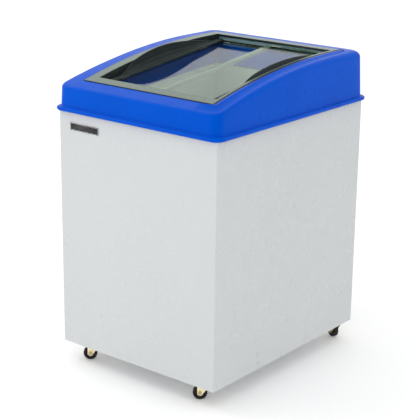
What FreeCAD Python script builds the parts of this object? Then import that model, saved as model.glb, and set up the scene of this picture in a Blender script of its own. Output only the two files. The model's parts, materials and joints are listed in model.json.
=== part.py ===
"""Chest freezer with a sloping arched top, two sliding glass lids and four swivel casters.

Millimetres. +Z is up, the front faces -Y, and +X is the right-hand side seen from the front.
The origin is on the floor, under the middle of the cabinet.
"""

import FreeCAD
import Part
import math
import os

V = FreeCAD.Vector
UP = V(0, 0, 1)

# Cabinet
body_width = 547.0
body_depth = 666.0
body_bottom = 57.0
steel = 1.0
steel_top = 744.0
half_w = body_width / 2
half_d = body_depth / 2

# Inner liner, with a step over the compressor bay
liner_half = 200.0
liner_front = -265.0
liner_rear = 260.0
liner_floor = 120.0
step_y = 110.0
step_z = 335.0
liner_top = 784.0

# Arched top, shared by the surround and the lid frame
arch_radius = 2030.0
arch_y = 210.0
arch_top = 875.7

# Blue surround
surround_bottom = 734.0
bead_height = 13.0
bead_reach = 14.0
bead_corner = 30.0
wall_gap = 3.0
wall = 2.8
draft = math.tan(math.radians(3.0))
plan_corner = 26.0
edge_round = 11.0
blank_top = 900.0

# Lid frame, whose right side strip is the narrower one
flange_left = -222.0
flange_right = 222.0
flange_front = -287.0
flange_rear = 285.0
opening_left = -192.0
opening_right = 213.0
opening_front = -260.0
opening_rear = 255.0
flange_lift = 2.0
gasket_width = 1.6
gasket_right = 14.0
web = 2.5
groove_depth = 8.0
web_front = opening_front - groove_depth
web_rear = opening_rear + groove_depth
deck_left = -199.0
deck_right = 220.0
collar_half = 199.0
deck_front = -272.0
deck_rear = 267.0

# Sliding panes: the lower one is on the left
pane_slope = 0.1075
pane_front_z = 801.0
glass = 4.0
pitch = 10.0
pane_left = -190.5
pane_right = 211.5
pane_overlap = 6.0
glass_front = web_front + 2
glass_rear = web_rear - 2
rail_floor = -5.5
rail_under = -8.0
divider = (1.5, 4.5)
lip_low = 17.5

# Handles
handle_width = 20.0
handle_foot = 8.0
handle_skin = 4.0
handle_reach = (-175.0, 232.0)
handle_arc_from = {-1: -130.0, 1: -118.0}
handle_crest = {-1: (35.0, 879.0), 1: (70.0, 882.5)}
handle_radii = {-1: (469.0, 900.0), 1: (760.0, 760.0)}
clip_places = (-197.0, 141.0)

# Compressor bay
bay_front = 165.0
bay_half = 262.0
bay_top = 285.0
compressor_at = (-120.0, 246.0)
fan_y = 246.0
fan_shaft = 2.5
fan_z = 158.0

# Back panel: the grille's x and z span, and the x and z of what sits in it
grille_span = (-222.0, 222.0, 68.0, 288.0)
knob_at = (178.0, 254.0)
gland_at = (-188.0, 92.0)

# Casters
wheel_radius = 20.0
wheel_width = 14.0
trail = 12.0
axle_radius = 3.0
king_radius = 4.0
running = 0.05
swivels = {
    "front_left": (-203.0, -282.0, 218.3),
    "front_right": (203.0, -282.0, 218.3),
    "rear_left": (-240.0, 302.0, 35.0),
    "rear_right": (240.0, 302.0, 160.0),
}

# Badge on the front panel
badge_at = (-180.0, 695.0)
badge_size = (106.0, 23.0)

# Drain
drain_at = (-110.0, -190.0)
drain_bore = 7.0


def box(x0, x1, y0, y1, z0, z1):
    return Part.makeBox(x1 - x0, y1 - y0, z1 - z0, V(x0, y0, z0))


def cylinder(radius, start, end):
    axis = V(*end) - V(*start)
    return Part.makeCylinder(radius, axis.Length, V(*start), axis)


def fused(shapes):
    whole = shapes[0].multiFuse(shapes[1:]) if len(shapes) > 1 else shapes[0]
    return whole.removeSplitter()


def group(shapes):
    return Part.makeCompound(shapes)


def prism_x(x0, x1, points):
    """A polygon of (y, z) points, extruded from x0 to x1."""
    corners = [V(x0, y, z) for y, z in points]
    face = Part.Face(Part.makePolygon(corners + corners[:1]))
    return face.extrude(V(x1 - x0, 0, 0))


def arch_z(y, lift=0.0):
    """Height of the arched top, or of the arch a given lift outside it."""
    if y >= arch_y:
        return arch_top + lift
    radius = arch_radius + lift
    return arch_top - arch_radius + math.sqrt(radius**2 - (arch_y - y) ** 2)


def arch_edges(x, y0, y1, lift):
    """The arch line from y0 to y1: an arc up to the apex, then straight and level."""
    if y0 >= arch_y:
        return [Part.makeLine(V(x, y0, arch_z(y0, lift)), V(x, y1, arch_z(y1, lift)))]
    arc_end = min(y1, arch_y)
    middle = (y0 + arc_end) / 2
    ends = [V(x, y, arch_z(y, lift)) for y in (y0, middle, arc_end)]
    edges = [Part.Arc(*ends).toShape()]
    if y1 > arch_y:
        edges.append(Part.makeLine(ends[2], V(x, y1, arch_z(y1, lift))))
    return edges


def arch_prism(x0, x1, y0, y1, lift, low_front, low_rear):
    """A block under the arch, with a straight underside."""
    top = arch_edges(x0, y0, y1, lift)
    first = V(x0, y0, arch_z(y0, lift))
    last = V(x0, y1, arch_z(y1, lift))
    under = [last, V(x0, y1, low_rear), V(x0, y0, low_front), first]
    sides = [Part.makeLine(a, b) for a, b in zip(under, under[1:])]
    return Part.Face(Part.Wire(top + sides)).extrude(V(x1 - x0, 0, 0))


def arch_band(x0, x1, y0, y1, low, high):
    """A curved strip that follows the arch between two lifts."""
    floor = body_bottom
    outer = arch_prism(x0, x1, y0, y1, high, floor, floor)
    return outer.cut(arch_prism(x0 - 1, x1 + 1, y0 - 1, y1 + 1, low, floor - 1, floor - 1))


def pane_z(y, offset=0.0):
    """Height of the lower pane's top face, or of a plane parallel to it."""
    return pane_front_z + pane_slope * (y - opening_front) + offset


def slope_block(x0, x1, y0, y1, low, high):
    """A block between two planes parallel to the panes."""
    low_front, low_rear = pane_z(y0, low), pane_z(y1, low)
    high_front, high_rear = pane_z(y0, high), pane_z(y1, high)
    return prism_x(x0, x1, [(y0, low_front), (y1, low_rear), (y1, high_rear), (y0, high_front)])


def rounded_rectangle(half_x, half_y, radius, z):
    """A closed wire with four round corners, at height z."""
    edges = []
    corners = ((1, 1, 0), (-1, 1, 90), (-1, -1, 180), (1, -1, 270))
    ends = []
    for side_x, side_y, start in corners:
        centre = V(side_x * (half_x - radius), side_y * (half_y - radius), z)
        arc = Part.makeCircle(radius, centre, UP, start, start + 90)
        edges.append(arc)
        ends.append((arc.valueAt(arc.FirstParameter), arc.valueAt(arc.LastParameter)))
    for i in range(4):
        edges.append(Part.makeLine(ends[i][1], ends[(i + 1) % 4][0]))
    return Part.Wire(Part.__sortEdges__(edges))


def slab(half_x, half_y, radius, z0, z1):
    wire = rounded_rectangle(half_x, half_y, radius, z0)
    return Part.Face(wire).extrude(V(0, 0, z1 - z0))


def tube_along(points, radius, bend):
    """A round tube along straight runs joined by tangent arcs."""
    edges = []
    start = V(*points[0])
    for before, corner, after in zip(points, points[1:], points[2:]):
        c = V(*corner)
        back = (V(*before) - c).normalize()
        ahead = (V(*after) - c).normalize()
        turn = math.pi - back.getAngle(ahead)
        reach = bend * math.tan(turn / 2)
        inward = (back + ahead).normalize()
        a = c + back * reach
        b = c + ahead * reach
        middle = c + inward * (bend / math.cos(turn / 2) - bend)
        edges.append(Part.makeLine(start, a))
        edges.append(Part.Arc(a, middle, b).toShape())
        start = b
    edges.append(Part.makeLine(start, V(*points[-1])))
    path = Part.Wire(edges)
    first = edges[0]
    heading = first.valueAt(first.LastParameter) - first.valueAt(first.FirstParameter)
    ring = Part.Wire(Part.makeCircle(radius, V(*points[0]), heading))
    return path.makePipeShell([ring], True, False)


# ---- cabinet -------------------------------------------------------------------------------


def make_outer_cabinet():
    shell = slab(half_w, half_d, 2.5, body_bottom, steel_top)
    hollow = slab(half_w - steel, half_d - steel, 1.5, body_bottom + steel, steel_top + 1)
    flange = slab(half_w - 18, half_d - 18, 4, body_bottom - 1, body_bottom + steel + 1)
    window = box(-205, 205, half_d - 5, half_d + 5, 82, 272)
    return shell.cut(hollow).cut(flange).cut(window)


def make_base_pan():
    inset = steel + 0.6
    low = body_bottom + steel
    pan = box(-half_w + inset, half_w - inset, -half_d + inset, half_d - inset, low, low + 1.5)
    rails = []
    for y in (compressor_at[1] - 48, compressor_at[1] + 48):
        rails.append(box(-220, 220, y - 12, y + 12, low + 1.5, low + 5.5))
    pan = fused([pan] + rails)
    for x in (compressor_at[0] - 70, compressor_at[0] + 70):
        for y in (compressor_at[1] - 48, compressor_at[1] + 48):
            pan = pan.cut(cylinder(3.2, (x, y, low - 1), (x, y, low + 8)))
    return pan.cut(cylinder(9.4, (*drain_at, low - 1), (*drain_at, low + 4)))


def liner_block(grow, top):
    """The storage space as a solid, grown by the given amount on every side but the top."""
    points = [
        (liner_front - grow, liner_floor - grow),
        (step_y + grow, liner_floor - grow),
        (step_y + grow, step_z - grow),
        (liner_rear + grow, step_z - grow),
        (liner_rear + grow, top),
        (liner_front - grow, top),
    ]
    return prism_x(-liner_half - grow, liner_half + grow, points)


def make_inner_liner():
    shell = liner_block(steel, liner_top).cut(liner_block(0, liner_top + 2))
    outer = box(-216, 216, liner_front - 16, liner_rear + 16, liner_top, liner_top + 1.2)
    flange = outer.cut(
        box(-liner_half, liner_half, liner_front, liner_rear, liner_top - 1, liner_top + 2)
    )
    liner = fused([shell, flange])
    return liner.cut(cylinder(9.2, (*drain_at, liner_floor - 3), (*drain_at, liner_floor + 3)))


def make_foam():
    inset = steel + 0.9
    low = body_bottom + steel + 1.8
    foam = box(-half_w + inset, half_w - inset, -half_d + inset, half_d - inset, low, steel_top - 2)
    upper = box(-262, 262, -316, 316, steel_top - 2, liner_top - 0.2)
    foam = fused([foam, upper])
    foam = foam.cut(liner_block(steel + 0.2, liner_top + 5))
    coil_room = liner_block(12, 756)
    coil_room = coil_room.common(box(-300, 300, -300, 300, 130, 756))
    bay = box(-bay_half, bay_half, bay_front, half_d + 1, low - 1, bay_top)
    foam = foam.cut(coil_room).cut(bay)
    return foam.cut(cylinder(9.4, (*drain_at, low - 1), (*drain_at, liner_floor)))


def make_bay_partition():
    low = body_bottom + steel + 1.7
    wide = bay_half - 0.5
    upright = box(-wide, wide, bay_front + 0.2, bay_front + 1.2, low, bay_top - 0.2)
    ceiling = box(-wide, wide, bay_front + 0.2, half_d - 2, bay_top - 1.2, bay_top - 0.2)
    return fused([upright, ceiling])


def make_evaporator_coil():
    """Tube rings round the liner, joined by one upright header."""
    radius = 3.5
    bend = 9.0
    gap = steel + 2.0 + radius
    wide = liner_half + gap
    front = liner_front - gap
    levels = [150 + 55 * i for i in range(11)]
    rings = []
    for z in levels:
        rear = (liner_rear if z > step_z + 5 else step_y) + gap
        points = [(0, front), (wide, front), (wide, rear), (-wide, rear), (-wide, front)]
        corners = [(x, y, z) for x, y in points]
        half_a = tube_along([(0.0, front, z)] + corners[1:3] + [(0.0, rear, z)], radius, bend)
        half_b = tube_along([(0.0, rear, z)] + corners[3:] + [(0.0, front, z)], radius, bend)
        rings += [half_a, half_b]
    header_x = wide + 0.6
    header = cylinder(radius + 1, (header_x, -120, levels[0]), (header_x, -120, levels[-1]))
    return fused(rings + [header])


# ---- arched surround and collar --------------------------------------------------------------


def surround_blank(inset, radius, low):
    """The drafted, arched block of the surround, inset on every outer face."""
    start = surround_bottom + bead_height

    def ring(z):
        shrink = inset + draft * (z - start)
        half_x = half_w + wall_gap - shrink
        half_y = half_d + wall_gap - shrink
        return rounded_rectangle(half_x, half_y, plan_corner - inset, z)

    walls = Part.makeLoft([ring(low), ring(blank_top)], True, True)
    reach = half_d + 60
    blank = walls.common(arch_prism(-400, 400, -reach, reach, -inset, 600, 600))
    rim = [e for e in blank.Edges if on_rim(e, -inset)]
    return blank.makeFillet(radius, rim)


def on_rim(edge, lift):
    """True for an edge where the arched top meets a wall."""
    first, last = edge.ParameterRange
    places = [edge.valueAt(first + (last - first) * k) for k in (0, 0.3, 0.5, 0.8, 1)]
    if any(abs(p.z - arch_z(p.y, lift)) > 0.4 for p in places):
        return False
    return not all(abs(p.y - arch_y) < 0.5 for p in places)


def make_top_surround():
    outer = surround_blank(0, edge_round, surround_bottom)
    inner = surround_blank(wall, edge_round - wall, surround_bottom - 2)
    bead_top = surround_bottom + bead_height
    bead = slab(half_w + bead_reach, half_d + bead_reach, bead_corner, surround_bottom, bead_top)
    bead = bead.makeFillet(4.5, [e for e in bead.Edges if abs(e.BoundBox.ZLength) < 0.01])
    clear = slab(half_w + 0.4, half_d + 0.4, 3, surround_bottom - 2, steel_top + 1)
    shell = fused([outer, bead]).cut(inner).cut(clear)
    opening = box(deck_left, deck_right, deck_front, deck_rear, 700, 950)
    shell = shell.cut(opening)
    lip_out = 2.0
    lip = arch_prism(
        deck_left - lip_out,
        deck_right + lip_out,
        deck_front - lip_out,
        deck_rear + lip_out,
        -1.0,
        pane_z(deck_front - lip_out, rail_under - 0.5),
        pane_z(deck_rear + lip_out, rail_under - 0.5),
    )
    return fused([shell, lip.cut(opening)])


def make_inner_collar():
    top = rail_under - 0.5
    flange = slope_block(deck_left - 5, deck_right + 5, deck_front - 5, deck_rear + 5, top - 2.5, top)
    low_front, low_rear = 751.0, 788.0
    front, rear = liner_front + 1, liner_rear - 1
    walls = prism_x(
        -collar_half,
        collar_half,
        [(front, low_front), (rear, low_rear), (rear, pane_z(rear, top)), (front, pane_z(front, top))],
    )
    hole = box(-collar_half + 2, collar_half - 2, front + 2, rear - 2, 700, 950)
    return fused([flange, walls]).cut(hole)


# ---- lid frame -------------------------------------------------------------------------------


def rail(tip, back, outer, inward):
    """A double-track rail. tip is the fingers' free edge, back the web's inner face."""
    ends_x = (opening_left - web, opening_right + web)
    web_out = back - inward * web
    flange_span = sorted((tip, outer))
    finger_span = sorted((tip, back - inward * 0.5))
    web_span = sorted((web_out, back))
    flange = arch_band(flange_left, flange_right, *flange_span, 0, flange_lift)
    low = [pane_z(y, rail_under) for y in web_span]
    upright = arch_prism(*ends_x, *web_span, flange_lift / 2, *low)
    fingers = [
        slope_block(*ends_x, *finger_span, rail_under, rail_floor),
        slope_block(*ends_x, *finger_span, *divider),
    ]
    lip = [pane_z(y, lip_low) for y in finger_span]
    fingers.append(arch_prism(*ends_x, *finger_span, flange_lift / 2, *lip))
    stops = []
    ends = [pane_z(y, rail_under) for y in finger_span]
    for x in (ends_x[0], opening_right):
        stops.append(arch_prism(x, x + web, *finger_span, flange_lift / 2, *ends))
    return fused([flange, upright] + fingers + stops)


def make_front_rail():
    return rail(opening_front, web_front, flange_front, 1)


def make_rear_rail():
    return rail(opening_rear, web_rear, flange_rear, -1)


def make_frame_side(side):
    """A curved side strip with the upright wall and the ledge under its pane."""
    front, rear = opening_front + 0.2, opening_rear - 0.2
    edge, outer = (opening_left, flange_left) if side < 0 else (opening_right, flange_right)
    strip = sorted((edge, outer))
    upright = sorted((edge, edge + side * web))
    ledge = sorted((edge - side * 5, edge + side))
    low = [pane_z(y, rail_under) for y in (front, rear)]
    return fused(
        [
            arch_band(*strip, front, rear, 0, flange_lift),
            arch_prism(*upright, front, rear, flange_lift / 2, *low),
            slope_block(*ledge, front, rear, rail_under, rail_floor - 0.7),
        ]
    )


def make_frame_gasket():
    """The dark seal round the frame, which shows as a wider band along the right side."""
    span = (flange_left - gasket_width, flange_right + gasket_right)
    outer = arch_band(*span, flange_front - gasket_width, flange_rear + gasket_width, 0.05, 1.4)
    ease = 0.05
    inner = box(
        flange_left - ease, flange_right + ease, flange_front - ease, flange_rear + ease, 700, 950
    )
    return outer.cut(inner)


# ---- sliding panes ---------------------------------------------------------------------------


def pane_span(side):
    """x range and lowest offset of a pane: the left one runs in the lower track."""
    if side < 0:
        return pane_left, pane_overlap, -glass
    return -pane_overlap, pane_right, pitch - glass


def make_glass(side):
    x0, x1, low = pane_span(side)
    return slope_block(x0, x1, glass_front, glass_rear, low, low + glass)


def make_edge_seal(side):
    """The strip on a pane's inner edge that closes the gap between the two panes."""
    x0, x1, low = pane_span(side)
    front, rear = opening_front + 1, opening_rear - 1
    if side < 0:
        return slope_block(x1 - 4, x1 - 1, front, rear, 0, pitch - glass - 0.4)
    return slope_block(x0 + 1, x0 + 4, front, rear, 0.4, pitch - glass)


def make_glides(side):
    """Four plastic runners between the glass and the track floor."""
    x0, x1, low = pane_span(side)
    floor = rail_floor if side < 0 else divider[1]
    pads = []
    for x in (x0 + 14, x1 - 44):
        for y0, y1 in ((glass_front, opening_front), (opening_rear, glass_rear)):
            pads.append(slope_block(x, x + 30, y0 + 0.3, y1 - 0.3, floor + 0.1, low))
    return group(pads)


def handle_solid(side, x0, x1, drop, base):
    """The grip's side profile, shrunk by a drop, over a base parallel to the pane.

    A front ramp climbs to an arch of two arcs, in front of the crest and behind it.
    """
    y0, y1 = handle_reach[0] + drop, handle_reach[1] - drop
    crest_y, crest_z = handle_crest[side]
    spans = ((handle_arc_from[side], crest_y), (crest_y, y1))
    edges = []
    ends = []
    for (start, stop), radius in zip(spans, handle_radii[side]):
        arc = []
        for y in (start, (start + stop) / 2, stop):
            rise = math.sqrt((radius - drop) ** 2 - (y - crest_y) ** 2)
            arc.append(V(x0, y, crest_z - radius + rise))
        edges.append(Part.Arc(*arc).toShape())
        ends += [arc[0], arc[2]]
    deep = 60
    ramp_foot = V(x0, y0, pane_z(y0, base))
    corners = [ends[-1], V(x0, y1, ends[-1].z - deep), V(x0, y0, ramp_foot.z - deep), ramp_foot, ends[0]]
    edges += [Part.makeLine(a, b) for a, b in zip(corners, corners[1:])]
    arch = Part.Face(Part.Wire(edges)).extrude(V(x1 - x0, 0, 0))
    return arch.common(slope_block(x0, x1, y0 - 1, y1 + 1, base, base + 2 * deep))


def make_handle(side):
    """An edge profile along the pane that rises into an arched grip, hollow on its inner side.

    It is drawn as if for the left pane and mirrored for the right one, which runs higher.
    """
    top = 0 if side < 0 else pitch
    outer_x = pane_left if side < 0 else -pane_right
    inner_x = outer_x + handle_width
    skin_x = outer_x + handle_skin
    grip = handle_solid(side, outer_x, inner_x - 2, 0, top)
    hollow = handle_solid(side, skin_x, inner_x + 1, handle_skin, top + handle_foot)
    front, rear = opening_front + 1, opening_rear - 1
    foot = slope_block(outer_x, inner_x, front, rear, top, top + handle_foot)
    ribs = []
    for height in (14.0, 21.0):
        rib = slope_block(skin_x - 1, skin_x + 2.5, front, rear, top + height, top + height + 1.8)
        ribs.append(rib.common(handle_solid(side, outer_x + 1, inner_x, 2, top)))
    clips = []
    for y in clip_places:
        clips.append(slope_block(inner_x - 1, inner_x + 4, y, y + 32, top, top + 5))
    handle = fused([grip.cut(hollow), foot] + ribs + clips)
    return handle if side < 0 else handle.mirror(V(0, 0, 0), V(1, 0, 0))


# ---- badge, grille and controls --------------------------------------------------------------


def make_badge():
    x, z = badge_at
    w, h = badge_size
    plate = box(x - w / 2, x + w / 2, -half_d - 1.6, -half_d, z - h / 2, z + h / 2)
    upright = [e for e in plate.Edges if e.BoundBox.YLength > 1 and e.BoundBox.XLength < 0.1]
    plate = plate.makeFillet(1.5, upright)
    return plate.cut(
        box(x - w / 2 + 2, x + w / 2 - 2, -half_d - 2, -half_d - 1.2, z - h / 2 + 2, z + h / 2 - 2)
    )


def grille_screw_places():
    x0, x1, z0, z1 = grille_span
    return [(x, z) for x in (x0 + 7, 0, x1 - 7) for z in (z0 + 6, z1 - 6)]


def make_rear_grille():
    x0, x1, z0, z1 = grille_span
    y0, y1 = half_d, half_d + 1.5
    plate = box(x0, x1, y0, y1, z0, z1)
    slots = []
    for column in (-156, -52, 52):
        for row in range(11):
            z = 92 + 16 * row
            slots.append(box(column - 44, column + 44, y0 - 1, y1 + 1, z, z + 6))
    for row in range(8):
        z = 92 + 16 * row
        slots.append(box(118, 200, y0 - 1, y1 + 1, z, z + 6))
    holes = [cylinder(11.5, (knob_at[0], y0 - 1, knob_at[1]), (knob_at[0], y1 + 1, knob_at[1]))]
    for x, z in grille_screw_places():
        holes.append(cylinder(2.1, (x, y0 - 1, z), (x, y1 + 1, z)))
    gland = cylinder(8.1, (gland_at[0], y0 - 1, gland_at[1]), (gland_at[0], y1 + 1, gland_at[1]))
    return plate.cut(group(slots + holes)).cut(gland)


def make_grille_screws():
    y = half_d + 1.5
    screws = []
    for x, z in grille_screw_places():
        head = cylinder(4.0, (x, y, z), (x, y + 2, z))
        slot = box(x - 3, x + 3, y + 1.2, y + 3, z - 0.5, z + 0.5)
        shank = cylinder(2.0, (x, half_d + 0.05, z), (x, y, z))
        screws.append(head.fuse(shank).removeSplitter().cut(slot))
    return group(screws)


def make_thermostat():
    x, z = knob_at
    housing = box(x - 24, x + 24, half_d - 42, half_d - 4, z - 18, z + 18)
    collar = cylinder(9, (x, half_d - 4.5, z), (x, half_d - 1, z))
    shaft_hole = cylinder(3 + running, (x, half_d - 20, z), (x, half_d + 2, z))
    return fused([housing, collar]).cut(shaft_hole)


def make_thermostat_knob():
    x, z = knob_at
    y = half_d
    shaft = cylinder(3, (x, y - 19, z), (x, y, z))
    skirt = cylinder(11, (x, y - 0.8, z), (x, y + 4, z))
    grip = cylinder(8, (x, y + 3.5, z), (x, y + 13, z))
    pointer = box(x - 1.5, x + 1.5, y + 3.5, y + 14, z, z + 10)
    return fused([shaft, skirt, grip, pointer])


def make_cord_gland():
    x, z = gland_at
    y = half_d
    body = cylinder(8, (x, y - 8, z), (x, y + 1.5, z))
    inner_nut = cylinder(11, (x, y - 8, z), (x, y - 1.5, z))
    dome = Part.makeCone(11, 6.5, 9, V(x, y + 1.5, z), V(0, 1, 0))
    bore = cylinder(3.6, (x, y - 10, z), (x, y + 12, z))
    return fused([body, inner_nut, dome]).cut(bore)


# ---- cooling machinery -----------------------------------------------------------------------

bay_floor = body_bottom + steel + 5.5
pot_radius = 58.0
pot_low = bay_floor + 14
pot_top = pot_low + 128


def make_compressor():
    """A hermetic pot with domed ends on a pressed foot plate."""
    x, y = compressor_at
    dome = 26
    low, high = pot_low, pot_top
    bend = dome * (1 - math.sin(math.pi / 4))
    outline = [
        Part.makeLine(V(x, y, low), V(x + pot_radius - dome, y, low)),
        Part.Arc(
            V(x + pot_radius - dome, y, low),
            V(x + pot_radius - bend, y, low + bend),
            V(x + pot_radius, y, low + dome),
        ).toShape(),
        Part.makeLine(V(x + pot_radius, y, low + dome), V(x + pot_radius, y, high - dome)),
        Part.Arc(
            V(x + pot_radius, y, high - dome),
            V(x + pot_radius - bend, y, high - bend),
            V(x + pot_radius - dome, y, high),
        ).toShape(),
        Part.makeLine(V(x + pot_radius - dome, y, high), V(x, y, high)),
        Part.makeLine(V(x, y, high), V(x, y, low)),
    ]
    pot = Part.Face(Part.Wire(outline)).revolve(V(x, y, 0), UP, 360)
    seam_z = (low + high) / 2
    seam = cylinder(pot_radius + 3, (x, y, seam_z - 2), (x, y, seam_z + 2))
    foot = box(x - 82, x + 82, y - 60, y + 60, low - 1, low + 2)
    foot = foot.makeFillet(10, [e for e in foot.Edges if e.BoundBox.ZLength > 1])
    whole = fused([pot, seam, foot])
    for place in compressor_feet():
        whole = whole.cut(cylinder(7.2, (*place, low - 3), (*place, low + 4)))
    return whole


def compressor_feet():
    x, y = compressor_at
    return [(x + dx, y + dy) for dx in (-70, 70) for dy in (-48, 48)]


def make_compressor_grommets():
    grommets = []
    for place in compressor_feet():
        lower = cylinder(11, (*place, bay_floor), (*place, pot_low - 1))
        neck = cylinder(7, (*place, pot_low - 1), (*place, pot_low + 2))
        upper = cylinder(10, (*place, pot_low + 2), (*place, pot_low + 6))
        bore = cylinder(3.1, (*place, bay_floor - 1), (*place, pot_low + 8))
        grommets.append(fused([lower, neck, upper]).cut(bore))
    return group(grommets)


def make_compressor_bolts():
    bolts = []
    for place in compressor_feet():
        shank = cylinder(3, (*place, body_bottom + 2), (*place, pot_low + 6))
        head = cylinder(6.5, (*place, pot_low + 6), (*place, pot_low + 11))
        bolts.append(fused([shank, head]))
    return group(bolts)


def make_start_relay():
    x, y = compressor_at
    return box(x + pot_radius + 3.5, x + pot_radius + 24, y - 22, y + 22, pot_low + 22, pot_low + 60)


condenser_x = (96.0, 140.0)
condenser_y = (186.0, 312.0)
condenser_z = (74.0, 242.0)


def condenser_rows():
    return [condenser_z[0] + 14 + 20 * i for i in range(8)]


def make_condenser_tube():
    """One serpentine tube, bent back at each end of its rows."""
    x = sum(condenser_x) / 2
    low_y, high_y = condenser_y[0] - 4, condenser_y[1] + 4
    points = []
    for i, z in enumerate(condenser_rows()):
        ends = (low_y, high_y) if i % 2 == 0 else (high_y, low_y)
        points += [(x, ends[0], z), (x, ends[1], z)]
    return tube_along(points, 4.0, 8.0)


def make_condenser_fins():
    x0, x1 = condenser_x
    middle = (x0 + x1) / 2
    fins = []
    for i in range(16):
        y = condenser_y[0] + 10 + 7 * i
        fin = box(x0, x1, y, y + 0.6, *condenser_z)
        holes = [cylinder(4.1, (middle, y - 1, z), (middle, y + 2, z)) for z in condenser_rows()]
        fins.append(fin.cut(group(holes)))
    return group(fins)


def make_fan_shroud():
    x = condenser_x[0] - 3
    plate = box(x - 14, x, condenser_y[0], condenser_y[1], *condenser_z)
    throat = cylinder(57, (x - 20, fan_y, fan_z), (x - 1.5, fan_y, fan_z))
    mouth = cylinder(52, (x - 20, fan_y, fan_z), (x + 1, fan_y, fan_z))
    shroud = plate.cut(throat).cut(mouth)
    arm_low = box(x - 44, x - 12, fan_y - 62, fan_y - 59, fan_z - 6, fan_z + 6)
    arm_high = box(x - 44, x - 12, fan_y + 59, fan_y + 62, fan_z - 6, fan_z + 6)
    bridge = box(x - 46, x - 43, fan_y - 62, fan_y + 62, fan_z - 6, fan_z + 6)
    foot = box(x - 14, x, condenser_y[0], condenser_y[1], bay_floor, condenser_z[0])
    shaft_hole = cylinder(5, (x - 50, fan_y, fan_z), (x - 40, fan_y, fan_z))
    return fused([shroud, arm_low, arm_high, bridge, foot]).cut(shaft_hole)


def make_fan_motor():
    x = condenser_x[0] - 3
    case = cylinder(24, (x - 74, fan_y, fan_z), (x - 46, fan_y, fan_z))
    nose = cylinder(6, (x - 76, fan_y, fan_z), (x - 74, fan_y, fan_z))
    case = case.makeFillet(3, [e for e in case.Edges if e.Curve.TypeId == "Part::GeomCircle"])
    bore = cylinder(fan_shaft + running, (x - 66, fan_y, fan_z), (x - 40, fan_y, fan_z))
    return fused([case, nose]).cut(bore)


def make_fan_blade():
    """Hub and five pitched blades, in front of the motor bracket."""
    x = condenser_x[0] - 3 - 30
    hub = cylinder(15, (x, fan_y, fan_z), (x + 14, fan_y, fan_z))
    blades = []
    for i in range(5):
        blade = box(x + 6, x + 7.6, fan_y - 15, fan_y + 15, fan_z + 10, fan_z + 49)
        blade = blade.common(cylinder(49, (x, fan_y, fan_z), (x + 14, fan_y, fan_z)))
        blade.rotate(V(x + 7, fan_y, fan_z), UP, 20)
        blade.rotate(V(x + 7, fan_y, fan_z), V(1, 0, 0), 72 * i)
        blades.append(blade)
    shaft = cylinder(fan_shaft, (x - 34, fan_y, fan_z), (x + 1, fan_y, fan_z))
    return fused([hub, shaft] + blades)


def make_filter_drier():
    z0, z1 = 215, 262
    x, y = 30, 200
    body = cylinder(10, (x, y, z0), (x, y, z1))
    body = body.makeFillet(5, [e for e in body.Edges if e.Curve.TypeId == "Part::GeomCircle"])
    stubs = cylinder(3, (x, y, z0 - 8), (x, y, z1 + 8))
    return fused([body, stubs])


def make_discharge_pipe():
    x, y = compressor_at
    points = [
        (x + 30, y - 30, pot_top - 18),
        (x + 30, y - 30, pot_top + 26),
        (x + 30, y - 70, pot_top + 26),
        (40, y - 70, pot_top + 26),
        (40, y - 70, 90),
        (condenser_x[0] - 20, y - 70, 90),
    ]
    return tube_along(points, 2.4, 9).cut(make_compressor())


def make_suction_pipe():
    x, y = compressor_at
    points = [
        (x - 30, y - 30, pot_top - 18),
        (x - 30, y - 30, pot_top + 40),
        (x - 30, bay_front + 14, pot_top + 40),
        (x - 110, bay_front + 14, pot_top + 40),
    ]
    return tube_along(points, 3.2, 11).cut(make_compressor())


# ---- drain -----------------------------------------------------------------------------------


def make_drain_tube():
    pipe = cylinder(9, (*drain_at, body_bottom - 4), (*drain_at, liner_floor + 1.5))
    flange = cylinder(14, (*drain_at, liner_floor + 0.1), (*drain_at, liner_floor + 1.5))
    bore = cylinder(drain_bore, (*drain_at, 0), (*drain_at, liner_floor + 5))
    return fused([pipe, flange]).cut(bore)


def make_drain_plug():
    x, y = drain_at
    top = liner_floor + 1.6
    stem = cylinder(drain_bore - running, (x, y, top - 18), (x, y, top + 1))
    head = cylinder(11, (x, y, top), (x, y, top + 4))
    tab = box(x - 7, x + 7, y - 1.5, y + 1.5, top + 3, top + 14)
    return fused([stem, head, tab])


# ---- casters ---------------------------------------------------------------------------------

plate_top = body_bottom
plate_thick = 2.0
cup_low = 48.5
fork_top = 46.5
fork_sheet = 2.0
king_low = 41.6
leg_inner = wheel_width / 2 + 1.6


def placed(shape, name):
    """Turns a caster part that was made about the origin, trailing along +X, to its own corner."""
    x, y, heading = swivels[name]
    shape.rotate(V(0, 0, 0), UP, heading)
    shape.translate(V(x, y, 0))
    return shape


def make_caster_plate(name):
    x, y, _ = swivels[name]
    plate = box(x - 23, x + 23, y - 23, y + 23, plate_top - plate_thick, plate_top)
    plate = plate.makeFillet(5, [e for e in plate.Edges if e.BoundBox.ZLength > 1])
    cup = cylinder(16, (x, y, cup_low), (x, y, plate_top - 1))
    rim = [e for e in cup.Edges if e.Curve.TypeId == "Part::GeomCircle" and e.BoundBox.ZMax < cup_low + 1]
    cup = cup.makeFillet(2.5, rim)
    pin = cylinder(king_radius, (x, y, king_low), (x, y, cup_low + 1))
    rivet = cylinder(6.5, (x, y, king_low), (x, y, fork_top - fork_sheet - 0.3))
    whole = fused([plate, cup, pin, rivet])
    for place in caster_screw_places(x, y):
        whole = whole.cut(cylinder(2.3, (*place, plate_top - 5), (*place, plate_top + 1)))
    return whole


def caster_screw_places(x, y):
    return [(x + dx, y + dy) for dx in (-18, 18) for dy in (-18, 18)]


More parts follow.
